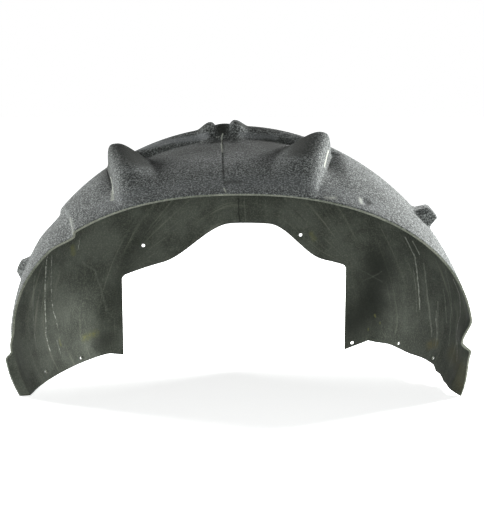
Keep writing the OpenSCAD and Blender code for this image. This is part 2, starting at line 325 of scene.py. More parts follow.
@dataclass
class PressedSheet:
    """The liner's form: four rails lofted into an arched sheet, and what the press adds to it.

    Sizes are millimetres in the sheet's own drawing frame, whose y starts at the outboard lip.
    In that frame u runs round the arch and v from the lip to the edge of the cut-out.
    """

    felt: float = 4
    lip: Rail = Rail((409, 412), 100, 366, (2.25, 2.2), (24, 11), (0, 0), (2.3, 3.4))
    ridge: Rail = Rail((416, 411), 120, 468.5, (1.99, 1.85), (34, 26), (0, 6))
    fold: Rail = Rail((277, 262), 60, 440, (1.5, 1.5), (8, 0), (5, 23))
    cut: CutOut = CutOut()
    corner_lead: float = 8
    wall_depth: Pair = (268, 298)
    ridge_depth: float = 240
    ridge_depth_foot: float = 22
    v_ridge: float = 0.5
    v_fold: float = 0.8
    tread_bulge: Pair = (1.3, 1.6)
    roll_square: Pair = (1.4, 2.0)
    step_height: float = 19
    step_start: Pair = (0.1, 0.7)
    step_band: Pair = (0.865, 0.925)
    step_share: float = 0.6
    step_ends: Pair = (-243, 175)
    step_swell: float = 50
    joggle_x: Pair = (297, 343)
    joggle_height: float = 7
    joggle_slope: float = 0.7
    joggle_end: Pair = (0.45, 0.7)
    joggle_soft: float = 0.004
    joggle_fade: float = 0.045
    flange: float = 16
    flange_depth: float = 5
    flange_top: float = 120
    flange_steps: tuple[Pair, Pair] = ((52, 38), (26, 0))
    flange_share: float = 0.3
    notch: float = 18
    notch_z: float = 98
    notch_reach: Pair = (44, 16)
    notch_step: float = 5.5
    notch_drop: float = 38
    notch_y: float = 90
    edge_lift: float = 17
    edge_steps: tuple[Place, Place] = ((0.45, 71, 77), (0.55, 104, 112))
    edge_sag: Place = (0.45, 140, 215)
    edge_end: Pair = (250, 305)
    edge_top: float = 110
    pockets: tuple[Pocket, ...] = (Pocket(Side.LEFT, -223, 56, 54),
                                   Pocket(Side.RIGHT, 137, 53, 68))
    knuckle_x: float = -38
    knuckle_pitch: float = 47
    knuckle_height: float = 12
    knuckle_width: Pair = (27, 14)
    knuckle_nose: float = 36
    knuckle_front: float = 20
    knuckle_end: Pair = (0.62, 0.75)
    bridge_height: float = 6
    bridge_width: float = 40
    bridge_front: float = 5
    bridge_nose: float = 9
    boss_left: Place = (13, 90, 218)
    boss_left_reach: Pair = (34, 22)
    boss_left_top: float = 0.4
    boss_left_way: Place = (-0.95, 0, 0.3)
    boss_right_x: float = 333
    boss_right_v: float = 0.44
    boss_right_height: float = 25
    boss_right_reach: Pair = (21, 26)
    boss_right_top: Pair = (0.5, 0.55)
    boss_right_way: Place = (0.85, 0, 0.5)
    boss_right_turn: float = 0.7
    strips: int = 400
    rows: tuple[int, int, int, int] = (46, 14, 40, 20)
    samples: int = 2001
    knuckle_crowd: Pair = (6, 0.03)
    joggle_crowd: Pair = (2, 0.05)
    pocket_crowd: Pair = (1.2, 0.06)
    lean_reach: float = 0.11
    origin: Array = field(default_factory=lambda: np.zeros(3))

    def __post_init__(self) -> None:
        """Works out the places that follow from the sizes."""
        self.corners = (self.fold.rise(self.cut.corner_left + self.corner_lead),
                        1 - self.fold.rise(self.cut.corner_right + self.corner_lead))
        self.joggle_u = (self.lip.reach(-self.joggle_x[0]), self.ridge.reach(-self.joggle_x[1]))
        self.knuckle_u = self.ridge.reach(self.knuckle_x)
        self.boss_right = self.plain(np.array(self.ridge.reach(self.boss_right_x)),
                                     np.array(self.boss_right_v))

    def wall_y(self, x: Array) -> Array:
        """Gives the depth of the flat inner wall at x."""
        return blend(*self.wall_depth, (x + self.cut.left) / (self.cut.left + self.cut.right))

    def plain(self, u: Array, v: Array) -> Array:
        """Lofts the sheet before anything is pressed out of it.

        Args:
            u: how far round the arch.
            v: how far from the lip.

        Returns:
            Points of the tread, the roll or the wall, by v.
        """
        crown = np.maximum(0.0, np.sin(np.pi * self.lip.arch(u)))
        lip_x, lip_z = self.lip.at(u)
        ridge_x, ridge_z = self.ridge.at(u)
        fold_x, fold_z = self.fold.at(u)
        cut_x, cut_z = self.cut.at(u, self.corners)
        ridge_y = blend(self.ridge_depth_foot, self.ridge_depth, crown)
        s = clamp(v / self.v_ridge)
        g = 1 - (1 - s) ** blend(*self.tread_bulge, crown)
        tread = stack(blend(lip_x, ridge_x, g), ridge_y * s, blend(lip_z, ridge_z, g))
        t = clamp((v - self.v_ridge) / (self.v_fold - self.v_ridge)) * np.pi / 2
        e = 2 / blend(*self.roll_square, crown**2)
        h, w = np.maximum(0.0, np.cos(t)) ** e, np.sin(t) ** e
        roll = stack(blend(fold_x, ridge_x, h), blend(ridge_y, self.wall_y(fold_x), w),
                     blend(fold_z, ridge_z, h))
        k = clamp((v - self.v_fold) / (1 - self.v_fold))
        wall_x = blend(fold_x, cut_x, k)
        wall = stack(wall_x, self.wall_y(wall_x), blend(fold_z, cut_z, k))
        zone = np.broadcast_to(v, wall_x.shape)[..., None]
        return np.where(zone <= self.v_ridge, tread, np.where(zone <= self.v_fold, roll, wall))

    def joggle(self, u: Array, v: Array) -> Array:
        """Sets the flank down to the left of the joggle.

        Args:
            u: how far round the arch.
            v: how far from the lip.

        Returns:
            What is added to each point.
        """
        away = u - blend(*self.joggle_u, clamp(v / self.v_ridge))
        across = fall(away, -self.joggle_soft, self.joggle_soft) \
            * ease(away, -self.joggle_fade, -self.joggle_soft)
        drop = self.joggle_slope * self.joggle_height * across * fall(v, *self.joggle_end)
        return stack(drop, 0, -drop)

    def crown_step(self, p: Array, v: Array) -> Array:
        """Sets the tread down below the ridge.

        Args:
            p: points of the plain sheet.
            v: how far each is from the lip.

        Returns:
            How far each goes down.
        """
        half = self.step_swell / 2
        span = ease(p[..., 0], self.step_ends[0] - half, self.step_ends[0] + half) \
            * fall(p[..., 0], self.step_ends[1] - half, self.step_ends[1] + half)
        s = np.minimum(1.0, v / self.v_ridge)
        low, high = self.step_band
        brow = 1 - (1 - clamp((s - high) / (1 - high))) ** 2
        rise = self.step_share * ease(s, low, high) + (1 - self.step_share) * brow
        return self.step_height * span * ease(s, *self.step_start) * (1 - rise)

    def knuckles(self, p: Array, v: Array) -> Array:
        """Raises the two knuckles, and the bridge behind the recess between them.

        Args:
            p: points of the plain sheet.
            v: how far each is from the lip.

        Returns:
            How far each goes up.
        """
        away = np.abs(p[..., 0] - self.knuckle_x) - self.knuckle_pitch / 2
        width = np.where(away > 0, *self.knuckle_width)
        front = np.maximum(0.0, self.ridge_depth - self.knuckle_front - p[..., 1])
        ribs = self.knuckle_height * bell(np.hypot(away / width, front / self.knuckle_nose))
        wall = np.maximum(0.0, self.ridge_depth - self.bridge_front - p[..., 1])
        middle = (p[..., 0] - self.knuckle_x) / self.bridge_width
        bridge = self.bridge_height * bell(np.hypot(middle, wall / self.bridge_nose))
        return np.maximum(ribs, bridge) * fall(v, *self.knuckle_end)

    def bosses(self, p: Array) -> Array:
        """Pushes out the round boss on the left leg and the square one on the right flank.

        Args:
            p: points of the plain sheet.

        Returns:
            What is added to each.
        """
        height, y, z = self.boss_left
        away = np.hypot((p[..., 1] - y) / self.boss_left_reach[0],
                        (p[..., 2] - z) / self.boss_left_reach[1])
        left = np.where(p[..., 0] < 0, height * fall(away, self.boss_left_top, 1), 0)
        away = p - self.boss_right
        along = (away[..., 0] - away[..., 2]) * self.boss_right_turn / self.boss_right_reach[0]
        across = away[..., 1] / self.boss_right_reach[1]
        square = fall(np.abs(along), self.boss_right_top[0], 1) \
            * fall(np.abs(across), self.boss_right_top[1], 1) * (p[..., 0] > 0)
        return left[..., None] * np.array(self.boss_left_way) \
            + self.boss_right_height * square[..., None] * np.array(self.boss_right_way)

    def lower_edge(self, p: Array) -> Array:
        """Cuts the right leg's lower edge up above the ground, in two steps by the lip.

        Args:
            p: points of the plain sheet.

        Returns:
            How far each goes up.
        """
        x, y, z = p[..., 0], p[..., 1], p[..., 2]
        steps = sum(share * ease(y, low, high) for share, low, high in self.edge_steps)
        sag = (1 - self.edge_sag[0] * ease(y, *self.edge_sag[1:])) * fall(y, *self.edge_end)
        return np.where(x > 0, self.edge_lift * steps * sag * fall(z, 0, self.edge_top), 0)

    def pressed(self, p: Array, u: Array, v: Array) -> Array:
        """Adds up what the press and the shears do to the sheet.

        Args:
            p: points of the plain sheet.
            u: how far each is round the arch.
            v: how far each is from the lip.

        Returns:
            What is added to each.
        """
        x, y, z = p[..., 0], p[..., 1], p[..., 2]
        top = self.flange_top
        steps = [fall(z, top - low, top - high) for low, high in self.flange_steps]
        out = self.flange * blend(*steps, self.flange_share) * fall(y, 0, self.flange_depth)
        out = np.where(x < 0, out, 0)
        reach = np.where(z > self.notch_z, *self.notch_reach)
        bite = self.notch * bell((z - self.notch_z) / reach) \
            + self.notch_step * fall(z, self.notch_z - self.notch_drop, self.notch_z)
        bite = np.where(x > 0, bite * fall(y, 0, self.notch_y), 0)
        up = self.lower_edge(p) - self.crown_step(p, v)
        push = sum(pocket.push(p) for pocket in self.pockets) \
            + stack(0, 0, self.knuckles(p, v)) + self.bosses(p)
        on_tread = (np.broadcast_to(v, x.shape) <= self.v_fold)[..., None]
        return stack(-out - bite, 0, up) + self.joggle(u, v) + np.where(on_tread, push, 0)

    def skin(self, u: Array, v: Array) -> Array:
        """Gives points on the middle layer of the finished sheet."""
        p = self.plain(u, v)
        return p + self.pressed(p, u, v)

    def lean(self, u: Array, v: Array) -> Array:
        """Leans the strips of the mesh, so that they run along the pockets' ridges.

        Args:
            u: how far round the arch.
            v: how far from the lip.

        Returns:
            What is added to u.
        """
        shift = 0.0
        for pocket in self.pockets:
            at = self.ridge.reach(pocket.x)
            pace = (self.ridge.reach(pocket.x + 1) - self.ridge.reach(pocket.x - 1)) / 2
            shift = shift + pocket.side.value * pace * bell((u - at) / self.lean_reach)
        first = self.pockets[0]
        away = self.ridge_depth * np.minimum(1.0, v / self.v_ridge) - first.depth
        return first.slant * away * fall(v, self.v_ridge, self.v_fold) * shift

    def spacing(self) -> tuple[Array, Array]:
        """Spaces the strips and rows, closer together where the form is fine.

        Returns:
            The strips' u and the rows' v.
        """
        fine = np.linspace(0, 1, self.samples)
        crowds = [(self.knuckle_u, self.knuckle_crowd), (sum(self.joggle_u) / 2, self.joggle_crowd)]
        crowds += [(self.ridge.reach(pocket.x), self.pocket_crowd) for pocket in self.pockets]
        crowd = sum((more * bell((fine - at) / reach) for at, (more, reach) in crowds), start=1)
        total = np.concatenate([[0], np.cumsum((crowd[1:] + crowd[:-1]) / 2)])
        us = np.interp(np.linspace(0, total[-1], self.strips + 1), total, fine)
        stops = (0.0, self.v_ridge * self.step_band[0], self.v_ridge, self.v_fold, 1.0)
        parts = [np.linspace(low, high, count, endpoint=False)
                 for low, high, count in zip(stops, stops[1:], self.rows)]
        return us, np.concatenate(parts + [np.array([1.0])])


class NodeBoard:
    """A small helper that lays shader nodes and links them."""

    def __init__(self, tree: bpy.types.NodeTree) -> None:
        """Takes the node tree to lay nodes in."""
        self.tree = tree

    def put(self, kind: str, inputs: dict[int | str, object] | None = None,
            **settings: object) -> bpy.types.Node:
        """Adds one node.

        Args:
            kind: the node's type name.
            inputs: what goes to each input, a socket or a plain value, by name or number.
            settings: the node's own properties.

        Returns:
            The new node.
        """
        node = self.tree.nodes.new(kind)
        for name, value in settings.items():
            setattr(node, name, value)
        for key, value in (inputs or {}).items():
            if isinstance(value, Socket):
                self.tree.links.new(value, node.inputs[key])
            else:
                node.inputs[key].default_value = value
        return node

    def maths(self, operation: str, *values: object) -> Socket:
        """Gives the result of one sum on sockets or plain values."""
        return self.put("ShaderNodeMath", dict(enumerate(values)), operation=operation).outputs[0]

    def vector(self, operation: str, *values: object, out: int | str = 0) -> Socket:
        """Gives the result of one sum on vectors, from the output named."""
        return self.put("ShaderNodeVectorMath", dict(enumerate(values)),
                        operation=operation).outputs[out]

    def scaled(self, vector: Socket, share: Socket) -> Socket:
        """Gives a vector times a number."""
        return self.put("ShaderNodeVectorMath", {0: vector, "Scale": share},
                        operation="SCALE").outputs[0]

    def ramp(self, value: Socket, low: float, high: float, to: Pair = (0, 1)) -> Socket:
        """Maps a value smoothly from low..high to the range given."""
        return self.put("ShaderNodeMapRange", {0: value, 1: low, 2: high, 3: to[0], 4: to[1]},
                        interpolation_type="SMOOTHSTEP").outputs[0]

    def noise(self, at: Socket, scale: float, detail: float = 3, rough: float = 0.55,
              twist: float = 0) -> Socket:
        """Gives a noise value at a place."""
        return self.put("ShaderNodeTexNoise", {"Vector": at, "Scale": scale, "Detail": detail,
                                               "Roughness": rough, "Distortion": twist}).outputs[0]

    def mix(self, share: Socket, a: Socket | Colour, b: Socket | Colour) -> Socket:
        """Mixes two colours."""
        colours = {6: a if isinstance(a, Socket) else (*a, 1),
                   7: b if isinstance(b, Socket) else (*b, 1)}
        return self.put("ShaderNodeMix", {0: share, **colours}, data_type="RGBA",
                        blend_type="MIX", clamp_factor=True).outputs[2]


def segment_group() -> bpy.types.NodeTree:
    """Makes the node group that measures how far a place lies from a straight piece of line.

    Distance along Through, the sheet's normal, counts for little, so that a straight piece
    also marks the curved felt above or below it.

    Returns:
        The group, made at the first call.
    """
    known = bpy.data.node_groups.get("segment")
    if known:
        return known
    tree = bpy.data.node_groups.new("segment", "ShaderNodeTree")
    for name in ("At", "Start", "Along", "Pace", "Through"):
        tree.interface.new_socket(name, in_out="INPUT", socket_type="NodeSocketVector")
    tree.interface.new_socket("Distance", in_out="OUTPUT", socket_type="NodeSocketFloat")
    board = NodeBoard(tree)
    taken = board.put("NodeGroupInput").outputs
    away = board.vector("SUBTRACT", taken["At"], taken["Start"])
    share = board.vector("DOT_PRODUCT", away, taken["Pace"], out="Value")
    share = board.put("ShaderNodeClamp", {0: share}).outputs[0]
    rest = board.vector("SUBTRACT", away, board.scaled(taken["Along"], share))
    deep = board.vector("DOT_PRODUCT", rest, taken["Through"], out="Value")
    rest = board.vector("SUBTRACT", rest, board.scaled(taken["Through"], deep))
    board.put("NodeGroupOutput", {0: board.vector("LENGTH", rest, out="Value")})
    return tree


@dataclass(frozen=True)
class Skin:
    """The middle layer of the sheet, as points and outward normals in millimetres."""

    points: Array
    normals: Array
    origin: Array

    def near(self, place: Array) -> tuple[Array, Array]:
        """Gives the sheet's point nearest to a place, and its outward normal."""
        nearest = np.argmin(((self.points - place) ** 2).sum(axis=-1))
        k = np.unravel_index(nearest, self.points.shape[:2])
        return self.points[k], self.normals[k]


@dataclass(frozen=True)
class Stroke:
    """A mark along a line over the felt, in the form's millimetres: scratches, creases and stains,
    and bands of painted shade and highlight.
    """

    path: tuple[Place, ...]
    width: float
    colour: Colour
    strength: float
    core: float = 0.2
    broken: float = 0.0
    flatten: float = 0.88
    gap_scale: float = 150
    gap_detail: float = 3
    gap_rough: float = 0.7
    gap_edge: Pair = (0.46, 0.58)

    def over(self, board: NodeBoard, colour: Socket, at: Socket, skin: Skin) -> Socket:
        """Lays the stroke over a colour.

        Args:
            board: the material's nodes.
            colour: what lies under the stroke.
            at: the place on the felt, in metres in the frame.
            skin: the sheet that the stroke lies on.

        Returns:
            The colour with the stroke on it.
        """
        nearest = None
        path = [skin.near(np.array(place))[0] for place in self.path]
        for start, end in zip(path, path[1:]):
            along = (end - start) * MM
            through = skin.near((start + end) / 2)[1] * math.sqrt(self.flatten)
            inputs = {"Start": (start - skin.origin) * MM, "Along": along,
                      "Pace": along / max(along @ along, TINY), "Through": through}
            inputs = {name: tuple(value) for name, value in inputs.items()}
            distance = board.put("ShaderNodeGroup", {"At": at, **inputs},
                                 node_tree=segment_group()).outputs[0]
            nearest = distance if nearest is None else board.maths("MINIMUM", nearest, distance)
        share = board.ramp(nearest, self.width * self.core * MM, self.width * MM,
                           (self.strength, 0))
        if self.broken:
            dots = board.noise(at, self.gap_scale, self.gap_detail, self.gap_rough)
            dots = board.ramp(dots, *self.gap_edge, (1 - self.broken, 1))
            share = board.maths("MULTIPLY", share, dots)
        return board.mix(share, colour, self.colour)


@dataclass(frozen=True)
class FeltFinish:
    """What one surface of the felt looks like. Scales are per metre."""

    name: str
    base: Colour
    dark: Colour
    fibre: Colour
    fibre_share: float
    relief: float
    sheen: float
    roughness: float = 0.95
    streaks: float = 0.0
    strokes: tuple[Stroke, ...] = ()
    cloud_scale: float = 16
    cloud_edge: Pair = (0.36, 0.66)
    tuft_scale: float = 340
    tuft_share: float = 0.6
    speck_scale: float = 760
    speck_share: float = 0.4
    speck_twist: float = 0.4
    fibre_edge: Pair = (0.45, 0.64)
    streak_stretch: Place = (4, 150, 1)
    streak_pale: Pair = (0.55, 0.8)
    streak_dark: Pair = (0.2, 0.48)
    wander_scale: float = 70
    wander_reach: float = 0.006
    specular: float = 0.2
    sheen_roughness: float = 0.4
    relief_height: float = 0.0016

    def fibres(self, board: NodeBoard, at: Socket) -> Socket:
        """Makes the needled surface: tufts with finer specks in them.

        Args:
            board: the material's nodes.
            at: the place on the felt.

        Returns:
            Its height, about 0.5 in the middle.
        """
        tuft = board.noise(at, self.tuft_scale, detail=2, rough=0.6)
        speck = board.noise(at, self.speck_scale, detail=2, rough=0.7, twist=self.speck_twist)
        return board.maths("ADD", board.maths("MULTIPLY", tuft, self.tuft_share),
                           board.maths("MULTIPLY", speck, self.speck_share))

    def rubbed(self, board: NodeBoard, colour: Socket) -> Socket:
        """Lays the streaks that run round the arch over a colour.

        Args:
            board: the material's nodes.
            colour: what lies under the streaks.

        Returns:
            The colour with the streaks on it.
        """
        laid = board.put("ShaderNodeUVMap", uv_map=UV_NAME).outputs[0]
        laid = board.put("ShaderNodeMapping", {"Vector": laid, "Scale": self.streak_stretch})
        streak = board.noise(laid.outputs[0], scale=1, detail=4, rough=0.65)
        pale = board.ramp(streak, *self.streak_pale, (0, self.streaks))
        dark = board.ramp(streak, *self.streak_dark, (self.streaks, 0))
        return board.mix(dark, board.mix(pale, colour, self.fibre), self.dark)

    def wear_and_painted_light(self, board: NodeBoard, colour: Socket, at: Socket, skin: Skin) -> Socket:
        """Lays the strokes, wear and painted light and shade, over a colour, with edges that wander
        a little.

        Args:
            board: the material's nodes.
            colour: what lies under the strokes.
            at: the place on the felt.
            skin: the sheet that the strokes lie on.

        Returns:
            The colour with the strokes on it.
        """
        wander = board.put("ShaderNodeTexNoise", {"Vector": at, "Scale": self.wander_scale,
                                                  "Detail": 2.0}).outputs["Color"]
        wander = board.vector("SUBTRACT", wander, (0.5, 0.5, 0.5))
        place = board.vector("MULTIPLY_ADD", wander, (self.wander_reach,) * 3, at)
        for stroke in self.strokes:
            colour = stroke.over(board, colour, place, skin)
        return colour

    def material(self, skin: Skin) -> bpy.types.Material:
        """Makes the material: mottled base, pale fibres, relief, wear and painted light and shade,
        and a soft nap.

        Args:
            skin: the sheet that the material is for.

        Returns:
            The material.
        """
        material = bpy.data.materials.new(self.name)
        material.use_nodes = True
        board = NodeBoard(material.node_tree)
        shader = material.node_tree.nodes["Principled BSDF"]
        at = board.put("ShaderNodeTexCoord").outputs["Object"]
        cloud = board.ramp(board.noise(at, self.cloud_scale, detail=4), *self.cloud_edge)
        height = self.fibres(board, at)
        share = board.ramp(height, *self.fibre_edge, (0, self.fibre_share))
        colour = board.mix(share, board.mix(cloud, self.dark, self.base), self.fibre)
        if self.streaks:
            colour = self.rubbed(board, colour)
        if self.strokes:
            colour = self.wear_and_painted_light(board, colour, at, skin)
        material.node_tree.links.new(colour, shader.inputs["Base Color"])
        shader.inputs["Roughness"].default_value = self.roughness
        shader.inputs["Specular IOR Level"].default_value = self.specular
        shader.inputs["Sheen Weight"].default_value = self.sheen
        shader.inputs["Sheen Roughness"].default_value = self.sheen_roughness
        bump = board.put("ShaderNodeBump", {"Height": height, "Strength": self.relief,
                                            "Distance": self.relief_height})
        material.node_tree.links.new(bump.outputs[0], shader.inputs["Normal"])
        return material


PALE = (0.34, 0.36, 0.31)
DUST = (0.13, 0.14, 0.115)
OLIVE = (0.085, 0.088, 0.030)
MUD = (0.070, 0.062, 0.028)
# Dark: painted shade on the tread, ridge, recesses, folds and groove, and a few darker lines
SHADE_AND_GRIME = (0.012, 0.014, 0.011)
# Pale blue-grey: painted sheen and highlight on the outer felt
PAINTED_HIGHLIGHT = (0.17, 0.18, 0.185)

LEG_CREASE = ((-313, 227, 203), (-296, 243, 184), (-288, 252, 160), (-283, 256, 140),
              (-276, 262, 95))
POCKET_CREASE = ((-247, 125, 385), (-228, 36, 354))

# Inner strokes: scratches, streaks and stains, with painted shade along the folds and in the groove
INNER_WEAR_AND_PAINTED_SHADE = (
    # Broad areas: painted shade along the left leg's fold into the wall and in the right corner
    # between wall and leg, and a paler patch on the right leg
    Stroke(((-185, 270, 271), (-230, 267, 196), (-256, 265, 117)), 34, SHADE_AND_GRIME, 0.35, 0.0),
    Stroke(((398, 55, 200), (402, 48, 130), (396, 40, 60)), 60, DUST, 0.25, 0.0),
    Stroke(((228, 297, 57), (268, 293, 111), (276, 276, 188)), 66, SHADE_AND_GRIME, 0.85, 0.0),
    Stroke(((-291, 251, 25), (-274, 264, 38)), 26, SHADE_AND_GRIME, 0.5, 0.1),
    # Scratches in the left leg
    Stroke(((-370, 151, 229), (-376, 148, 176), (-377, 142, 126), (-376, 134, 75),
            (-369, 135, 47)), 2.2, PALE, 0.8, broken=0.9),
    Stroke(((-364, 162, 225), (-368, 161, 133), (-359, 170, 83)), 1.8, PALE, 0.5, broken=0.9),
    Stroke(((-359, 163, 59), (-352, 164, 35)), 2.0, PALE, 0.5, broken=0.8),
    Stroke(((-386, 120, 196), (-391, 100, 120), (-384, 96, 60)), 3.0, DUST, 0.5, broken=0.7),
    Stroke(LEG_CREASE, 3.4, DUST, 0.3, broken=0.5),
    Stroke(((-318, 215, 250), (-319, 217, 231)), 1.5, PALE, 0.4, broken=0.6),
    # Streaks in the right leg
    Stroke(((318, 218, 255), (339, 204, 216), (347, 201, 168), (350, 197, 115)), 2.4, PALE, 0.5,
           broken=0.5),
    Stroke(((333, 199, 250), (346, 189, 228)), 2.2, PALE, 0.5, broken=0.4),
    Stroke(((350, 188, 207), (360, 180, 147), (365, 157, 72)), 3.4, DUST, 0.7, broken=0.5),
    Stroke(((375, 150, 140), (375, 127, 67)), 2.6, DUST, 0.7, broken=0.6),
    Stroke(((392, 93, 193), (400, 72, 171), (402, 66, 133), (397, 68, 83), (394, 45, 53)), 2.2,
           PALE, 0.6, broken=0.7),
    Stroke(((383, 129, 168), (386, 113, 109)), 2.4, DUST, 0.7, broken=0.5),
    Stroke(((248, 294, 170), (285, 276, 153)), 2.2, DUST, 0.16, broken=0.5),
    Stroke(((249, 296, 148), (284, 273, 174)), 2.2, DUST, 0.16, broken=0.5),
    Stroke(((378, 120, 205), (388, 100, 150), (388, 90, 70)), 2.4, DUST, 0.6, broken=0.6),
    Stroke(((368, 150, 120), (372, 130, 60)), 2.2, PALE, 0.4, broken=0.7),
    Stroke(((396, 80, 140), (394, 66, 60)), 2.2, DUST, 0.7, broken=0.6),
    Stroke(((330, 212, 190), (338, 205, 110)), 2.0, DUST, 0.4, broken=0.6),
    # The groove in the wall: a dark line of painted shade in it, and a pale line beside it
    Stroke(((-7, 282, 324), (-3, 282, 276)), 2.4, SHADE_AND_GRIME, 0.8),
    Stroke(((4, 282, 324), (6, 282, 276)), 2.0, DUST, 0.2),
    # Stains
    Stroke(((-332, 202, 238), (-331, 206, 227)), 9, OLIVE, 0.7, 0.1, 0.4),
    Stroke(((-317, 228, 48), (-296, 251, 52)), 12, OLIVE, 0.75, 0.0, 0.6),
    Stroke(((-357, 166, 56), (-354, 170, 49)), 6, OLIVE, 0.7, 0.1, 0.5),
    Stroke(((274, 292, 80), (275, 291, 78)), 3.5, OLIVE, 0.7),
    Stroke(((282, 286, 66), (283, 285, 64)), 3, OLIVE, 0.6),
    Stroke(((261, 299, 48), (262, 299, 46)), 3, OLIVE, 0.5),
    Stroke(((361, 154, 53), (372, 132, 63)), 15, MUD, 0.7, 0.0, 0.5),
    Stroke(((392, 74, 62), (396, 10, 42), (394, 5, 19)), 26, MUD, 0.5, 0.0, 0.4),
    Stroke(((140, 291, 251), (146, 292, 236)), 9, OLIVE, 0.45, 0.1, 0.3),
)
# Outer strokes: mostly painted light and shade, with slits, folds and rubbed places
OUTER_WEAR_AND_PAINTED_LIGHT = (
    # A pale band of painted sheen along the lip, and painted shade on the upward-facing tread and
    # pocket tops
    Stroke(((-245, 20, 350), (-130, 20, 378), (0, 20, 386), (120, 20, 378), (235, 20, 350)), 40,
           PAINTED_HIGHLIGHT, 0.22, 0.0),
    Stroke(((-180, 160, 436), (-40, 165, 450), (60, 165, 448)), 75, SHADE_AND_GRIME, 0.6, 0.0),
    Stroke(((-204, 150, 455), (-190, 110, 430)), 46, SHADE_AND_GRIME, 0.9, 0.2),
    Stroke(((60, 190, 455), (112, 150, 465), (108, 105, 430)), 40, SHADE_AND_GRIME, 0.9, 0.2),
    # Painted highlight on the step under the ridge, painted shade on the ridge's top, and painted
    # shadow in the recess between the knuckles
    Stroke(((-195, 208, 438), (-120, 210, 449), (-70, 211, 453)), 12, PAINTED_HIGHLIGHT, 0.5, 0.2),
    Stroke(((0, 211, 455), (62, 210, 450)), 10, PAINTED_HIGHLIGHT, 0.3, 0.2),
    Stroke(((-230, 231, 444), (-120, 231, 462), (-66, 232, 468)), 9, SHADE_AND_GRIME, 0.75, 0.2),
    Stroke(((-12, 232, 470), (80, 231, 464), (135, 231, 454)), 9, SHADE_AND_GRIME, 0.75, 0.2),
    Stroke(((-38, 236, 462), (-38, 228, 455)), 17, SHADE_AND_GRIME, 0.9, 0.3),
    # Folds, slits and rubbed places, with painted highlights on the joggle and the pockets' steep
    # edges, and painted highlight and shade on the dimple
    # Painted highlight along the joggle near the lip
    Stroke(((-300, 0, 296), (-310, 30, 310), (-316, 50, 316)), 8, PALE, 0.4, 0.0, 0.5),
    Stroke(((-38, 213, 453), (-36, 143, 428)), 2.2, PALE, 0.85, broken=0.3),
    Stroke(((-36, 143, 428), (-34, 72, 407), (-32, 36, 391)), 2.4, SHADE_AND_GRIME, 0.6, broken=0.5),
    Stroke(((-33, 13, 376), (-28, 2, 370)), 2.2, PALE, 0.8),
    Stroke(((-48, 210, 450), (-43, 211, 450)), 2, PALE, 0.4, broken=0.3),
    # Painted highlights along the steep edges of the two pockets (this line and the next)
    Stroke(POCKET_CREASE, 2.6, PALE, 0.85, broken=0.3),
    Stroke(((160, 133, 429), (152, 97, 407)), 4.5, PALE, 0.95, broken=0.2),
    Stroke(((147, 7, 359), (163, 10, 358)), 7, PALE, 0.5, 0.0, 0.5),
    # Painted highlight and painted shade on the dimple (this line and the next)
    Stroke(((211, 30, 355), (210, 21, 350)), 7, PALE, 0.45, 0.1, 0.3),
    Stroke(((225, 30, 349), (224, 21, 345)), 7, SHADE_AND_GRIME, 0.75, 0.1),
    Stroke(((-28, 26, 385), (-5, 26, 385)), 12, SHADE_AND_GRIME, 0.5, 0.0),
)

OUTER_FELT = FeltFinish("outer_felt", (0.029, 0.032, 0.031), (0.013, 0.015, 0.014),
                        (0.27, 0.29, 0.28), 0.72, 0.7, 0.07, strokes=OUTER_WEAR_AND_PAINTED_LIGHT)
INNER_FELT = FeltFinish("inner_felt", (0.050, 0.056, 0.046), (0.026, 0.030, 0.024),
                        (0.16, 0.17, 0.13), 0.22, 0.45, 0.04, streaks=0.5, strokes=INNER_WEAR_AND_PAINTED_SHADE)
CUT_FELT = FeltFinish("cut_felt", (0.14, 0.148, 0.12), (0.08, 0.09, 0.07),
                      (0.30, 0.32, 0.26), 0.4, 0.7, 0.1)
MARKS = (
    Dent((218, 26, 352), (17, 15, 15), -3.2),
    Dent((206, 26, 354), (10, 11, 11), 1.4),
    Crease(((-38, 213, 453), (-36, 143, 428), (-34, 72, 407), (-32, 36, 391), (-28, 2, 370)),
           4.5, -1.4),
    Crease(((-6, 282, 324), (-3, 282, 276)), 4.5, 1.2),
    Crease(LEG_CREASE, 7, 1.0),
    Crease(POCKET_CREASE, 6, -1.2),
)


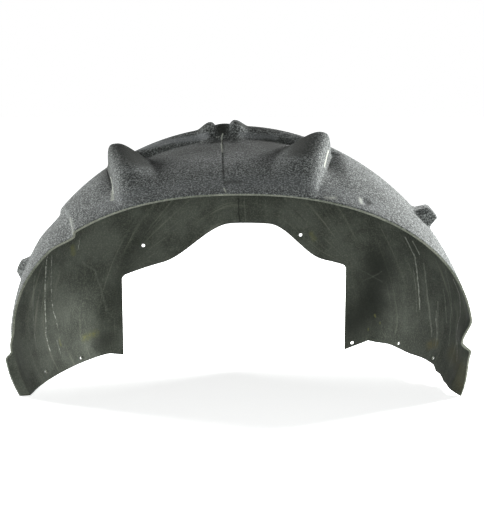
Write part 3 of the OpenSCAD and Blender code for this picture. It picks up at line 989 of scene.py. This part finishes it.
@dataclass
class Liner:
    """The finished sheet, as one closed mesh with a material for each kind of surface."""

    form: PressedSheet
    finishes: tuple[FeltFinish, ...]
    holes: list[tuple[Place, Place, float]]
    marks: tuple[Dent | Crease, ...]
    rim_steps: int = 2
    uv_size: Pair = (1.3, 0.5)
    hole_sides: int = 40
    punch_length: float = 0.016

    def skin(self) -> Skin:
        """Presses the marks into the form.

        Returns:
            The sheet's middle layer.
        """
        u, v = np.meshgrid(*self.form.spacing(), indexing="ij")
        grid = self.form.skin(u + self.form.lean(u, v), v)
        push = sum(mark.lift(grid) for mark in self.marks)
        grid = grid + push[..., None] * outward(grid)
        return Skin(grid, outward(grid), self.form.origin)

    def faces(self, n: int, m: int) -> tuple[Array, Array]:
        """Lays faces over layers of points, and closes them round the rim.

        Args:
            n: the number of strips of points in a layer.
            m: the number of rows.

        Returns:
            The four corners of each face, and its kind of surface.
        """
        index = np.arange(n * m).reshape(n, m)
        a, b, c, d = index[:-1, :-1], index[1:, :-1], index[1:, 1:], index[:-1, 1:]
        quads = np.stack([a, b, c, d], axis=-1).reshape(-1, 4)
        faces = [quads, quads[:, ::-1] + self.rim_steps * n * m]
        kinds = [np.full(len(quads), Face.OUTER.value), np.full(len(quads), Face.INNER.value)]
        loop = np.concatenate([index[:, 0], index[-1, 1:], index[-2::-1, -1], index[0, -2:0:-1]])
        for step in range(self.rim_steps):
            here, nxt = loop + step * n * m, loop + (step + 1) * n * m
            faces.append(np.stack([here, nxt, np.roll(nxt, -1), np.roll(here, -1)], axis=-1))
            kinds.append(np.full(len(loop), Face.CUT.value))
        return np.concatenate(faces), np.concatenate(kinds).astype(np.int32)

    def lay_uvs(self, mesh: bpy.types.Mesh, used: Array) -> None:
        """Gives the mesh a UV map that runs round the arch and across the sheet.

        Args:
            mesh: the sheet before it is pierced.
            used: which points of the layers the mesh has.
        """
        us, vs = self.form.spacing()
        across = np.meshgrid(us * self.uv_size[0], vs * self.uv_size[1], indexing="ij")
        laid = np.tile(np.stack(across, axis=-1).reshape(-1, 2), (self.rim_steps + 1, 1))
        corners = np.empty(len(mesh.loops), np.int32)
        mesh.loops.foreach_get("vertex_index", corners)
        flat = laid[used][corners].astype(np.float32).ravel()
        mesh.uv_layers.new(name=UV_NAME).uv.foreach_set("vector", flat)

    def build(self) -> bpy.types.Object:
        """Makes the mesh, dresses it and pierces it.

        Returns:
            The finished piece.
        """
        skin = self.skin()
        out = skin.normals * self.form.felt / 2
        outer, inner = ((skin.points + way * out - skin.origin) * MM for way in (1, -1))
        layers = [outer, *(blend(outer, inner, step / self.rim_steps)
                           for step in range(1, self.rim_steps)), inner]
        points = np.concatenate([layer.reshape(-1, 3) for layer in layers])
        faces, kinds = self.faces(*outer.shape[:2])
        used = np.unique(faces)
        place = np.zeros(len(points), int)
        place[used] = np.arange(len(used))
        mesh = bpy.data.meshes.new("felt_sheet")
        mesh.from_pydata(points[used].tolist(), [], place[faces].tolist())
        for finish in self.finishes:
            mesh.materials.append(finish.material(skin))
        mesh.polygons.foreach_set("material_index", kinds)
        mesh.polygons.foreach_set("use_smooth", np.ones(len(kinds), bool))
        self.lay_uvs(mesh, used)
        mesh.validate()
        mesh.update()
        piece = bpy.data.objects.new("felt_liner", mesh)
        bpy.context.collection.objects.link(piece)
        self.pierce(piece)
        return piece

    def pierce(self, piece: bpy.types.Object) -> None:
        """Cuts the clip holes out of the sheet.

        Args:
            piece: the sheet, whose mesh is replaced.
        """
        for k, (at, axis, radius) in enumerate(self.holes):
            bpy.ops.mesh.primitive_cylinder_add(vertices=self.hole_sides, radius=radius,
                                                depth=self.punch_length, location=at)
            punch = bpy.context.object
            punch.rotation_mode = "QUATERNION"
            punch.rotation_quaternion = Vector(axis).to_track_quat("Z", "Y")
            punch.data.materials.clear()
            for slot in piece.data.materials:
                punch.data.materials.append(slot)
            for face in punch.data.polygons:
                face.material_index = Face.CUT.value
            cut = piece.modifiers.new(f"pierce_{k}", "BOOLEAN")
            cut.operation, cut.solver, cut.object = "DIFFERENCE", "MANIFOLD", punch
            bpy.context.view_layer.update()
            seen = piece.evaluated_get(bpy.context.evaluated_depsgraph_get())
            mesh = bpy.data.meshes.new_from_object(seen)
            piece.modifiers.remove(cut)
            old, piece.data = piece.data, mesh
            bpy.data.meshes.remove(old)
            bpy.data.objects.remove(punch)


@dataclass(frozen=True)
class Lamp:
    """One soft square lamp that faces a point, in metres and watts."""

    name: str
    at: Place
    power: float
    size: float
    aim: Place = (0, 0, 0.3)

    def hang(self) -> None:
        """Adds the lamp to the scene."""
        light = bpy.data.lights.new(self.name, "AREA")
        light.shape, light.size, light.energy = "SQUARE", self.size, self.power
        lamp = bpy.data.objects.new(self.name, light)
        lamp.location = self.at
        way = Vector(self.aim) - Vector(self.at)
        lamp.rotation_euler = way.to_track_quat("-Z", "Y").to_euler()
        bpy.context.collection.objects.link(lamp)


@dataclass(frozen=True)
class Studio:
    """Floor, lamps, world and camera, in metres."""

    eye: Place = (0.005124, -2.000681, 0.600899)
    pitch: float = 10.7876
    lens: float = 73.48
    sensor: float = 36
    lamps: tuple[Lamp, ...] = (Lamp("left_lamp", (-1.3, 0.45, 0.7), 42, 0.5),
                               Lamp("right_lamp", (1.35, 0.6, 0.75), 92, 0.5),
                               Lamp("front_lamp", (0.3, -2.6, 0.15), 92, 1.6))
    ambient: float = 0.2
    white: tuple[float, ...] = (1, 1, 1, 1)
    floor_size: float = 14
    floor_cuts: int = 8
    floor_at: Place = (0, 2, 0)
    floor_colour: Colour = (0.88, 0.9, 0.89)
    floor_roughness: float = 0.8
    glow_reach: Pair = (0.4, 1.1)
    glow: Pair = (0.66, 1.0)

    def build(self) -> None:
        """Sets up everything round the liner."""
        self.floor()
        for lamp in self.lamps:
            lamp.hang()
        self.world()
        self.camera()
        bpy.context.scene.view_settings.view_transform = "Standard"

    def world(self) -> None:
        """Fills the room with plain light, and shows white behind the liner."""
        world = bpy.data.worlds.new("room")
        bpy.context.scene.world = world
        world.use_nodes = True
        board = NodeBoard(world.node_tree)
        seen = board.put("ShaderNodeLightPath").outputs["Is Camera Ray"]
        ambient = world.node_tree.nodes["Background"]
        ambient.inputs[0].default_value = self.white
        ambient.inputs[1].default_value = self.ambient
        white = board.put("ShaderNodeBackground", {0: self.white, 1: 1.0})
        mixed = board.put("ShaderNodeMixShader", {0: seen, 1: ambient.outputs[0],
                                                  2: white.outputs[0]})
        world.node_tree.links.new(mixed.outputs[0],
                                  world.node_tree.nodes["World Output"].inputs[0])

    def floor(self) -> None:
        """Lays a wide pale floor under the liner, which only the camera sees glow."""
        bpy.ops.mesh.primitive_grid_add(x_subdivisions=self.floor_cuts, size=self.floor_size,
                                        y_subdivisions=self.floor_cuts, location=self.floor_at)
        floor = bpy.context.object
        floor.name = "floor"
        material = bpy.data.materials.new("floor")
        material.use_nodes = True
        board = NodeBoard(material.node_tree)
        shader = material.node_tree.nodes["Principled BSDF"]
        shader.inputs["Base Color"].default_value = (*self.floor_colour, 1)
        shader.inputs["Roughness"].default_value = self.floor_roughness
        shader.inputs["Emission Color"].default_value = self.white
        at = board.put("ShaderNodeTexCoord").outputs["Object"]
        away = board.vector("LENGTH", board.vector("ADD", at, self.floor_at), out="Value")
        seen = board.put("ShaderNodeLightPath").outputs["Is Camera Ray"]
        glow = board.maths("MULTIPLY", board.ramp(away, *self.glow_reach, self.glow), seen)
        material.node_tree.links.new(glow, shader.inputs["Emission Strength"])
        floor.data.materials.append(material)

    def camera(self) -> None:
        """Places the camera where the photograph was taken from."""
        data = bpy.data.cameras.new("camera")
        data.lens, data.sensor_height, data.sensor_fit = self.lens, self.sensor, "VERTICAL"
        camera = bpy.data.objects.new("camera", data)
        camera.location = self.eye
        camera.rotation_euler = (math.radians(90 - self.pitch), 0, 0)
        bpy.context.collection.objects.link(camera)
        bpy.context.scene.camera = camera


def bores(record: dict) -> list[tuple[Place, Place, float]]:
    """Gives the place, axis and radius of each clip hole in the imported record."""
    return [(tuple(m["pos_m"]), tuple(m["axis"]), m["dims"]["r_mm"] * MM)
            for m in record["mounts"] if m["kind"] == "bore"]


def origin_of(form: PressedSheet, hole: Place) -> Array:
    """Finds the frame's origin in the form, from the hole left of the cut-out.

    Args:
        form: the sheet in its drawing frame.
        hole: that hole's place in the frame, in metres.

    Returns:
        The origin in the form's millimetres.
    """
    x = np.array(WALL_HOLE_X)
    return np.array([x, form.wall_y(x), form.cut.height(x) + WALL_HOLE_RISE]) - np.array(hole) / MM


def main() -> None:
    """Builds the liner and the studio round it."""
    logging.basicConfig(level=logging.INFO)
    holes = bores(frame["record"])
    form = PressedSheet()
    form.origin = origin_of(form, holes[0][0])
    liner = Liner(form, (OUTER_FELT, INNER_FELT, CUT_FELT), holes, MARKS).build()
    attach(liner, BODY)
    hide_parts(NODE)
    LOG.info("liner: %d faces", len(liner.data.polygons))
    Studio().build()


if __name__ == "__main__":
    main()
